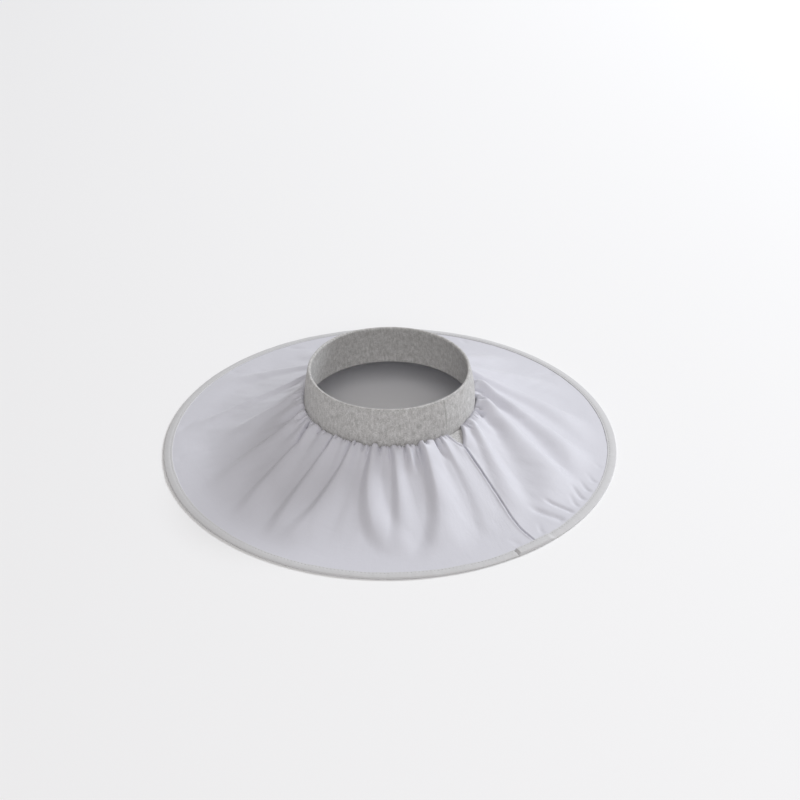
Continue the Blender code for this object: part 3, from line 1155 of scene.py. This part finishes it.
@dataclass(frozen=True)
class TapeFinish(ClothFinish):
    """Bias-cut woven tape, whose threads run slantwise along it."""

    pitch: float = 0.0005

    def build(self, weave: bpy.types.NodeTree, crumple: bpy.types.NodeTree) -> bpy.types.Material:
        """Threads at 45 degrees as bump, with slight slanting pulls.

        Args:
            weave: the plain weave group.
            crumple: the handling marks group.

        Returns:
            The material.
        """
        material, shader, principled, cloth = self.start()
        turned = shader.node("ShaderNodeMapping")
        shader.feed(turned.inputs["Vector"], cloth)
        turned.inputs["Rotation"].default_value = (0.0, 0.0, math.radians(45.0))
        slanting = turned.outputs["Vector"]
        threads = self.use(shader, weave, slanting, Pitch=self.pitch, Slub=1.0)
        pulls = self.use(shader, crumple, shader.stretched(slanting, (0.35, 1.0, 1.0)), Size=0.004)
        tone = shader.mix(threads.outputs["Slubs"], self.colour4(self.shade), self.colour4(self.colour))
        shader.link(tone, principled.inputs["Base Color"])
        soft = self.bump(shader, pulls.outputs["Height"], 0.00035, 0.5)
        fine = self.bump(shader, threads.outputs["Height"], 0.00007, 0.4, soft)
        shader.link(fine, principled.inputs["Normal"])
        return material


@dataclass(frozen=True)
class ThreadFinish(ClothFinish):
    """Twisted sewing thread."""

    twist: float = 0.0006

    def build(self, weave: bpy.types.NodeTree) -> bpy.types.Material:
        """A slanting twist as bump along each stitch, with painted shade where the twist's strands are low.

        Args:
            weave: the plain weave group.

        Returns:
            The material.
        """
        material, shader, principled, cloth = self.start()
        strands = self.use(shader, weave, cloth, Pitch=self.twist, Slub=0.5)
        # Painted shade: the colour darkens towards the shade colour where the twist's height is low, between
        # the strands.
        tone = shader.mix(strands.outputs["Height"], self.colour4(self.shade), self.colour4(self.colour))
        shader.link(tone, principled.inputs["Base Color"])
        shader.link(self.bump(shader, strands.outputs["Height"], 0.00008, 0.5), principled.inputs["Normal"])
        return material


def stitch_row(
    name: str, middles: Array, alongs: Array, ups: Array, length: float, thick: float
) -> bpy.types.Object:
    """A row of stitches as one mesh.

    Each stitch is a tube of six sides along an arc: its width is the root of one minus the squared share
    along it, and it stands up by the cosine of that share, so both ends dive into the cloth.

    Args:
        name: the piece's name.
        middles: the stitches' middle points on the cloth.
        alongs: unit vectors along each stitch.
        ups: unit vectors off the cloth at each stitch.
        length: a stitch's length in metres.
        thick: the thread's diameter in metres.

    Returns:
        The new piece.
    """
    stations = np.linspace(-1.0, 1.0, 7)
    sides = np.arange(6) * 2.0 * math.pi / 6.0
    girth = thick / 2.0 * np.sqrt(np.clip(1.0 - 0.92 * stations**2, 0.0, 1.0))
    lift = thick * (0.75 * np.cos(stations * math.pi / 2.0) - 0.25)
    crosswise = np.cross(ups, alongs)
    spine = (
        middles[:, None, :]
        + alongs[:, None, :] * (stations * length / 2.0)[None, :, None]
        + ups[:, None, :] * lift[None, :, None]
    )
    ring = (
        crosswise[:, None, None, :] * np.cos(sides)[None, None, :, None]
        + ups[:, None, None, :] * np.sin(sides)[None, None, :, None]
    )
    tubes = spine[:, :, None, :] + ring * girth[None, :, None, None]
    count, rows, columns = tubes.shape[:3]
    one = loop_faces(rows, columns, False)[:, ::-1]
    first_cap = np.arange(columns)
    last_cap = np.arange(columns)[::-1] + (rows - 1) * columns
    starts = np.arange(count) * rows * columns
    sides_of_all = (one[None, :, :] + starts[:, None, None]).reshape(-1, 4).tolist()
    caps = (np.stack([first_cap, last_cap])[None, :, :] + starts[:, None, None]).reshape(-1, columns).tolist()
    faces = sides_of_all + caps
    along_uv = np.broadcast_to((stations * length / 2.0)[None, :, None], tubes.shape[:3])
    round_uv = np.broadcast_to((sides * thick / 2.0)[None, None, :], tubes.shape[:3])
    return make_piece(name, tubes, faces, corner_uvs(faces, along_uv, round_uv))


@dataclass
class ConePanel:
    """The gathered ring of woven cloth, one closed wall."""

    form: ConeForm
    around: int = 1280
    crowding: float = 0.74
    neck_spacing: float = 0.0010
    middle_spacing: float = 0.0031
    hem_spacing: float = 0.0020
    flat_width: float = 1.18
    flat_length: float = 0.125
    neck_cut: float = 0.67
    pieces: list[bpy.types.Object] = field(default_factory=list)

    def rows(self) -> Array:
        """Shares of the rows, close together at the neck and a little closer at the hem.

        Returns:
            Shares from 0 to 1.
        """
        length = float(self.form.edge(0.0)[0]) - self.form.neck_edge
        fine = np.linspace(0.0, 1.0, 2001)
        spacing = (
            self.neck_spacing
            + (self.middle_spacing - self.neck_spacing) * smooth_step(fine, 0.02, 0.35)
            - (self.middle_spacing - self.hem_spacing) * smooth_step(fine, 0.6, 0.85)
        )
        steps = np.concatenate([[0.0], np.cumsum(length / 2000.0 / spacing[:-1])])
        count = int(round(steps[-1])) + 1
        return np.interp(np.linspace(0.0, steps[-1], count), steps, fine)

    def build(self) -> bpy.types.Object:
        """Builds the outer face and the inner face, a wall's thickness below it, as one closed skin.

        The rows go down the outer face and back up the inner one, which takes every other row. Towards the
        neck the rows start at the notch's edge.

        Returns:
            The panel.
        """
        share = self.rows()
        angle = self.form.columns(self.around, self.crowding, share)
        start = self.form.notch(angle)
        shares = start + (1.0 - start) * share[:, None]
        outer = self.form.face(angle, shares)
        inner = outer - grid_normals(outer) * self.form.panel_thickness
        last = len(share) - 1
        kept = np.union1d(np.arange(0, last, 2), [last])[::-1]
        grid = np.concatenate([outer, inner[kept]])
        faces = loop_faces(len(grid), self.around, True)
        mean_cut = 0.5 * (self.flat_width + self.neck_cut)
        uvs = loop_uvs(len(grid), self.around, True, lengths_along(grid), mean_cut)
        piece = make_piece("panel_cloth", grid, faces.tolist(), uvs)
        self.pieces.append(piece)
        return piece

    def dress(self, finish: bpy.types.Material) -> None:
        """Gives the panel its cloth and its place on the frame, and hides the imported cone_panel part.

        Args:
            finish: the woven cloth.
        """
        panel = self.pieces[0]
        panel.data.materials.append(finish)
        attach(panel, "root")
        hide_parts("cone_panel")


@dataclass
class NeckBand:
    """The knitted band: a doubled strip that stands up from the gather line, folded over at its top."""

    form: ConeForm
    top: float
    bottom: float
    wall: float = 0.0028
    taper: float = 0.004
    around: int = 900
    join_angle: float = -50.0
    flat_length: float = 0.42
    flat_height: float = 0.036
    gusset_length: float = 0.026
    gusset_height: float = 0.016
    gusset_overlap: float = 2.5
    gusset_drop: float = 0.0036
    gusset_thickness: float = 0.0009
    pieces: list[bpy.types.Object] = field(default_factory=list)

    def side(self, face: Face, height: Array, angle: Array) -> Array:
        """Radius of one side of the band at each height.

        The outer side is upright up to the gather line and leans in above it, with a soft swell of a sine
        between the gather line and the top. The inner side lies a wall's thickness inside it.

        Args:
            face: the outer or the inner side.
            height: heights in metres.
            angle: angles in degrees.

        Returns:
            Radii in metres.
        """
        share = np.clip((height - self.form.neck_height) / (self.top - self.form.neck_height), 0.0, 1.0)
        swell = 0.0007 * np.sin(math.pi * share)
        soft = BAND_RELIEF.level(angle / 360.0, share) * np.sin(math.pi * share * 0.5)
        outer = self.form.neck_radius - self.taper * share + swell + soft
        return outer if face is Face.OUTER else outer - self.wall

    def build(self) -> bpy.types.Object:
        """Builds the band as a profile carried round the neck.

        The profile runs down the outer side, up the inner side and over the fold, a half circle of the wall's
        thickness. A groove of a bell's shape marks where the strip's ends are joined.

        Returns:
            The band.
        """
        angle = np.arange(self.around) * 360.0 / self.around
        fold = self.wall / 2.0
        crown = self.top - fold
        down = np.linspace(crown, self.bottom, 34)
        arc = np.linspace(0.0, math.pi, 9)[1:-1][::-1]
        angles = np.broadcast_to(angle, (len(down), self.around))
        heights = np.broadcast_to(down[:, None], angles.shape)
        off_join = np.radians(turn_between(angles, self.join_angle)) * self.form.neck_radius
        join = -0.0006 * np.exp(-((off_join / 0.0007) ** 2)) + 0.0004 * np.exp(-((off_join / 0.0030) ** 2))
        outer = self.side(Face.OUTER, heights, angles) + join
        inner = self.side(Face.INNER, heights, angles) - 0.5 * join
        middle = (outer[0] + inner[0]) / 2.0
        half = (outer[0] - inner[0]) / 2.0
        over_radius = middle[None, :] + half[None, :] * np.cos(arc)[:, None]
        over_height = crown + fold * np.sin(arc)[:, None] + np.zeros_like(over_radius)
        uneven = BAND_TOP_RELIEF.level(angles / 360.0, heights * 0.0)
        radius = np.concatenate([outer, inner[::-1], over_radius])
        height = np.concatenate([heights, heights[::-1], over_height])
        rising = np.clip((height - self.form.neck_height) / (self.top - self.form.neck_height), 0.0, 1.0)
        height = height + uneven[0][None, :] * rising
        around = np.broadcast_to(angle, radius.shape)
        grid = round_axis(radius, around, height)
        length = 2.0 * math.pi * self.form.neck_radius
        faces = loop_faces(len(grid), self.around, True)
        uvs = loop_uvs(len(grid), self.around, True, lengths_along(grid), length)
        piece = make_piece("knit_band", grid, faces.tolist(), uvs)
        self.pieces.append(piece)
        return piece

    def build_gusset(self) -> bpy.types.Object:
        """Builds the knit that shows in the panel's notch: a patch of the band's cloth under the panel.

        It follows the panel's smooth profile between the notch's sides, a little below the face.

        Returns:
            The patch.
        """
        form = self.form
        share = np.linspace(-0.012, form.notch_share + 0.022, 14)
        left_end = form.notch_centre - form.notch_left - self.gusset_overlap
        right_end = form.notch_centre + form.notch_right + self.gusset_overlap
        angle = np.linspace(left_end, right_end, 26)
        angles, shares = np.meshgrid(angle, share)
        radius, height = form.profile(angles, np.clip(shares, 0.0, 1.0))
        radius = radius + np.minimum(shares, 0.0) * 0.1
        height = height - self.gusset_drop - 0.25 * np.minimum(shares, 0.0) * 0.1
        top = round_axis(radius, angles, height)
        under = top - np.array([0.0, 0.0, self.gusset_thickness])
        grid = np.concatenate([top, under[::-1]])
        rows, columns = grid.shape[:2]
        row = np.arange(rows)[:, None]
        column = np.arange(columns - 1)[None, :]
        above = (row + 1) % rows
        quads = np.stack(
            [
                (row * columns + column).reshape(-1),
                (above * columns + column).reshape(-1),
                (above * columns + column + 1).reshape(-1),
                (row * columns + column + 1).reshape(-1),
            ],
            axis=-1,
        )
        half = rows // 2
        row = np.arange(half - 1)
        left = columns * np.stack([row, rows - 1 - row, rows - 2 - row, row + 1], axis=-1)
        right = left[:, ::-1] + columns - 1
        faces = np.concatenate([quads, left, right]).tolist()
        flat_u = np.radians(np.concatenate([angles, angles[::-1]])) * form.neck_radius
        flat_v = np.concatenate([shares, shares[::-1]]) * (form.rim_radius - form.neck_edge)
        piece = make_piece("knit_gusset", grid, faces, corner_uvs(faces, flat_u, flat_v))
        self.pieces.append(piece)
        return piece

    def dress(self, finish: bpy.types.Material) -> None:
        """Gives the band and its patch their knit and their place on the frame, and hides the imported
        neck_band part.

        Args:
            finish: the heather knit.
        """
        for piece in self.pieces:
            piece.data.materials.append(finish)
            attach(piece, "root")
        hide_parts("neck_band")


@dataclass
class RimBinding:
    """The tape folded round the rim, its end lapped over its start, with a row of stitches on each side."""

    form: ConeForm
    around: int = 1400
    lap_start: float = -58.0
    lap_end: float = -47.0
    lap_step: float = 0.35
    lap_rise: float = 0.0013
    lap_dip: float = 0.0009
    stitch_inset: float = 0.0016
    stitch_pitch: float = 0.0029
    stitch_length: float = 0.0021
    thread: float = 0.00042
    flat_length: float = 1.19
    flat_width: float = 0.018
    pieces: list[bpy.types.Object] = field(default_factory=list)

    def lap(self, angle: Array) -> Array:
        """How far the lapped end raises the tape: steep at its cut end, with a dip before it, and easing out.

        Args:
            angle: angles in degrees.

        Returns:
            Heights in metres.
        """
        turn = turn_between(angle, 0.0)
        rise = smooth_step(turn, self.lap_start, self.lap_start + self.lap_step)
        fall = 1.0 - smooth_step(turn, self.lap_end - 1.5, self.lap_end)
        dip = np.exp(-(((turn - self.lap_start + 0.2) / 0.22) ** 2))
        return self.lap_rise * rise * fall - self.lap_dip * dip

    def slack(self, angle: Array) -> Array:
        """The tape's slight unevenness: chance relief of three lengths.

        Args:
            angle: angles in degrees.

        Returns:
            Heights in metres.
        """
        around = angle / 360.0
        level = np.zeros_like(angle)
        return sum(relief.level(around, level) for relief in TAPE_RELIEF)

    def outline(self) -> tuple[Array, Array, Array, Array]:
        """The folded tape's section as fixed depths, shares of the width, lifts and shares of the lap's rise.

        A point's depth in from the rim is its fixed depth plus its share of the binding's width there. The
        section runs from the slot's mouth over the tape's upper inner edge, a quarter circle, across the
        crowned top with the stitches' groove, round the nose, a quarter circle, to the sole and back into the
        slot.

        Returns:
            The fixed depths, the shares of the width, the lifts off the middle plane and the shares of the
            rise.
        """
        half = self.form.binding_thickness / 2.0
        slot = self.form.panel_thickness / 2.0
        tape = half - slot
        edge = np.linspace(0.0, math.pi / 2.0, 5)
        across = np.linspace(0.0, 1.0, 15)[1:-1]
        nose = np.linspace(math.pi / 2.0, 0.0, 7)
        under = np.linspace(0.0, 1.0, 9)[1:]
        sole = half / 2.0 + self.form.sole_width
        fixed = np.concatenate(
            [
                -0.9 * tape * (1.0 - np.cos(edge)),
                half * across - 0.9 * tape * (1.0 - across),
                half * (1.0 - np.cos(nose)),
                [half * 0.2, half / 2.0, sole],
                sole * (1.0 - under),
                [0.0],
                [self.form.binding_fold, self.form.binding_fold],
            ]
        )
        shared = np.concatenate(
            [np.ones(5), 1.0 - across, np.zeros(7), np.zeros(3), under, [1.0], [0.0, 0.0]]
        )
        from_edge = (1.0 - (fixed + shared * self.form.binding_width)[5:18] / self.form.binding_width)
        groove = np.exp(-(((from_edge * self.form.binding_width - self.stitch_inset) / 0.0007) ** 2))
        lift = np.concatenate(
            [
                slot + tape * np.sin(edge),
                half + 0.00030 * np.sin(math.pi * across) - 0.00020 * groove,
                half * np.sin(nose),
                [-half * 0.55, -half, -half],
                np.full(8, -half),
                [-slot],
                [-slot, slot],
            ]
        )
        raised = np.concatenate([np.sin(edge), np.ones(len(across)), np.sin(nose), np.zeros(14)])
        return fixed, shared, lift, raised

    def build(self) -> bpy.types.Object:
        """Builds the tape as its section carried round the rim, raised along the lap.

        Returns:
            The binding.
        """
        fixed, shared, lift, raised = self.outline()
        even = np.arange(self.around) / self.around
        centre = (self.lap_start + self.lap_end) / 2.0
        angle = centre + 360.0 * (even - 0.7 * np.sin(2.0 * math.pi * even) / (2.0 * math.pi))
        angles = np.broadcast_to(angle, (len(fixed), self.around))
        slack = self.slack(angle)
        lifts = lift[:, None] + raised[:, None] * (self.lap(angle) + slack)[None, :]
        depths = fixed[:, None] + shared[:, None] * (self.form.width_at(angle) + 1.6 * slack)[None, :]
        radius, height = self.form.hem_point(depths, lifts, angles)
        grid = round_axis(radius, angles, np.maximum(height, 0.0))
        faces = loop_faces(len(grid), self.around, True)
        length = 2.0 * math.pi * self.form.rim_radius
        uvs = loop_uvs(len(grid), self.around, True, lengths_along(grid), length)
        piece = make_piece("binding_tape", grid, faces.tolist(), uvs)
        self.pieces.append(piece)
        return piece

    def build_stitches(self, face: Face) -> bpy.types.Object:
        """Builds one row of stitches along the tape's inner edge.

        Args:
            face: the upper or the lower side of the binding.

        Returns:
            The row.
        """
        half = self.form.binding_thickness / 2.0
        count = int(2.0 * math.pi * (self.form.rim_radius - self.form.binding_width) / self.stitch_pitch)
        angle = (np.arange(count) + 0.5) * 360.0 / count
        depth = self.form.width_at(angle) - self.stitch_inset
        upper = face is Face.OUTER
        lift = half + self.lap(angle) + self.slack(angle) - 0.00008 if upper else -half + 0.0 * angle
        radius, height = self.form.hem_point(depth, lift, angle)
        slope = self.form.slope_at(angle)
        turn = np.radians(angle)
        level = np.zeros_like(turn)
        alongs = np.stack([-np.sin(turn), np.cos(turn), level], axis=-1)
        ups = np.stack([np.cos(turn) * np.sin(slope), np.sin(turn) * np.sin(slope), np.cos(slope)], axis=-1)
        name = "stitches_above" if upper else "stitches_below"
        middles = round_axis(radius, angle, height)
        piece = stitch_row(name, middles, alongs, ups * face.value, self.stitch_length, self.thread)
        self.pieces.append(piece)
        return piece

    def dress(self, tape: bpy.types.Material, thread: bpy.types.Material) -> None:
        """Gives the binding its tape and thread and its place on the frame, and hides the imported
        rim_binding part.

        Args:
            tape: the tape's finish.
            thread: the stitches' finish.
        """
        for piece in self.pieces:
            piece.data.materials.append(tape if piece is self.pieces[0] else thread)
            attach(piece, "root")
        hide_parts("rim_binding")


@dataclass(frozen=True)
class Lamp:
    """A soft rectangular light: where it stands, its size in metres, its power in watts and its colour."""

    name: str
    place: tuple[float, float, float]
    size: float
    power: float
    colour: Colour

    def build(self, target: Vector) -> bpy.types.Object:
        """Adds the light, turned to its target.

        Args:
            target: the point that it faces.

        Returns:
            The light's object.
        """
        data = bpy.data.lights.new(self.name, "AREA")
        data.energy = self.power
        data.size = self.size
        data.color = self.colour
        lamp = bpy.data.objects.new(self.name, data)
        bpy.context.scene.collection.objects.link(lamp)
        lamp.location = self.place
        lamp.rotation_euler = (target - Vector(self.place)).to_track_quat("-Z", "Y").to_euler()
        return lamp


@dataclass
class Studio:
    """A pale floor, soft light from the right and a camera at the photograph's angle."""

    distance: float = 1.5712
    elevation: float = 32.059
    aim: tuple[float, float, float] = (0.00852, 0.0, 0.04202)
    roll: float = -0.223
    lens: float = 85.0
    sensor: float = 36.0
    floor_size: float = 9.0
    floor_colour: Colour = (0.88, 0.88, 0.89)
    world_colour: Colour = (1.0, 0.965, 0.94)
    world_strength: float = 0.37
    lamps: tuple[Lamp, ...] = (
        Lamp("key", place=(3.3, 2.8, 3.1), size=1.7, power=220.0, colour=(0.94, 0.97, 1.0)),
        Lamp("fill", place=(0.4, -4.0, 3.4), size=3.0, power=98.0, colour=(1.0, 0.985, 0.97)),
    )

    def build_camera(self) -> bpy.types.Object:
        """Adds the camera at its distance and elevation in front of its aim, rolled a little.

        Returns:
            The camera's object.
        """
        data = bpy.data.cameras.new("camera")
        data.lens = self.lens
        data.sensor_width = self.sensor
        camera = bpy.data.objects.new("camera", data)
        bpy.context.scene.collection.objects.link(camera)
        rise = math.radians(self.elevation)
        back = Vector((0.0, -math.cos(rise), math.sin(rise)))
        place = Vector(self.aim) + self.distance * back
        right = Vector((1.0, 0.0, 0.0))
        up = right.cross(-back)
        turn = math.radians(self.roll)
        side = right * math.cos(turn) + up * math.sin(turn)
        head = up * math.cos(turn) - right * math.sin(turn)
        camera.matrix_world = Matrix(
            (
                (side.x, head.x, back.x, place.x),
                (side.y, head.y, back.y, place.y),
                (side.z, head.z, back.z, place.z),
                (0.0, 0.0, 0.0, 1.0),
            )
        )
        bpy.context.scene.camera = camera
        return camera

    def build_floor(self) -> bpy.types.Object:
        """Adds the floor, a pale sheet with hardly any gloss.

        Returns:
            The floor's object.
        """
        half = self.floor_size / 2.0
        corners = np.array([[-half, -half, 0.0], [half, -half, 0.0], [half, half, 0.0], [-half, half, 0.0]])
        floor = make_piece("floor", corners, [[0, 1, 2, 3]])
        material = bpy.data.materials.new("pale_floor")
        material.use_nodes = True
        principled = material.node_tree.nodes["Principled BSDF"]
        principled.inputs["Base Color"].default_value = (*self.floor_colour, 1.0)
        principled.inputs["Roughness"].default_value = 0.9
        floor.data.materials.append(material)
        return floor

    def build_world(self) -> None:
        """Sets the even light that comes from all round."""
        world = bpy.data.worlds.new("studio")
        world.use_nodes = True
        sky = world.node_tree.nodes["Background"]
        sky.inputs["Color"].default_value = (*self.world_colour, 1.0)
        sky.inputs["Strength"].default_value = self.world_strength
        bpy.context.scene.world = world
        bpy.context.scene.view_settings.view_transform = "Standard"

    def build(self) -> None:
        """Builds the camera, the floor, the lamps and the even light."""
        self.build_camera()
        self.build_floor()
        target = Vector(self.aim)
        for lamp in self.lamps:
            lamp.build(target)
        self.build_world()


@dataclass(frozen=True)
class Finishes:
    """The four finishes of the cone."""

    cloth: WovenFinish = WovenFinish(
        name="woven_blue_grey",
        colour=(0.64, 0.64, 0.70),
        shade=(0.56, 0.56, 0.61),
        roughness=0.62,
        sheen=0.25,
        sheen_roughness=0.45,
    )
    knit: KnitFinish = KnitFinish(
        name="heather_knit",
        colour=(0.38, 0.375, 0.37),
        # The knit's shade colour is painted shade for the grooves between its loops.
        shade=(0.24, 0.235, 0.23),
        fleck=(0.74, 0.735, 0.735),
        roughness=0.92,
        sheen=0.35,
        sheen_roughness=0.6,
    )
    tape: TapeFinish = TapeFinish(
        name="grey_bias_tape",
        colour=(0.61, 0.61, 0.625),
        shade=(0.51, 0.51, 0.52),
        roughness=0.78,
        sheen=0.2,
        sheen_roughness=0.5,
    )
    thread: ThreadFinish = ThreadFinish(
        name="grey_thread",
        colour=(0.60, 0.60, 0.61),
        # The thread's shade colour is painted shade for the grooves of its twist.
        shade=(0.44, 0.44, 0.45),
        roughness=0.7,
        sheen=0.2,
        sheen_roughness=0.4,
    )


def report(piece: bpy.types.Object) -> None:
    """Logs a piece's name and how many faces it has."""
    LOG.info("%s: %d faces", piece.name, len(piece.data.polygons))


def main() -> None:
    """Builds the cone's pieces, dresses them and sets up the studio."""
    logging.basicConfig(level=logging.INFO, format="%(message)s")
    band_low, band_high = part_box("neck_band")
    _, rim_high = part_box("rim_binding")
    band_tuck = 0.006
    form = ConeForm(
        rim_radius=float(rim_high[0]),
        neck_radius=float(band_high[0]),
        neck_height=float(band_low[2]) + band_tuck,
    )
    finishes = Finishes()
    weave = weave_group()
    crumple = crumple_group()
    knit = knit_group()
    heather = heather_group()

    panel = ConePanel(form)
    report(panel.build())
    panel.dress(finishes.cloth.build(weave, crumple))

    band = NeckBand(form, top=float(band_high[2]), bottom=float(band_low[2]))
    report(band.build())
    report(band.build_gusset())
    band.dress(finishes.knit.build(knit, heather))

    binding = RimBinding(form)
    report(binding.build())
    report(binding.build_stitches(Face.OUTER))
    report(binding.build_stitches(Face.INNER))
    binding.dress(finishes.tape.build(weave, crumple), finishes.thread.build(weave))

    Studio().build()


if __name__ == "__main__":
    main()
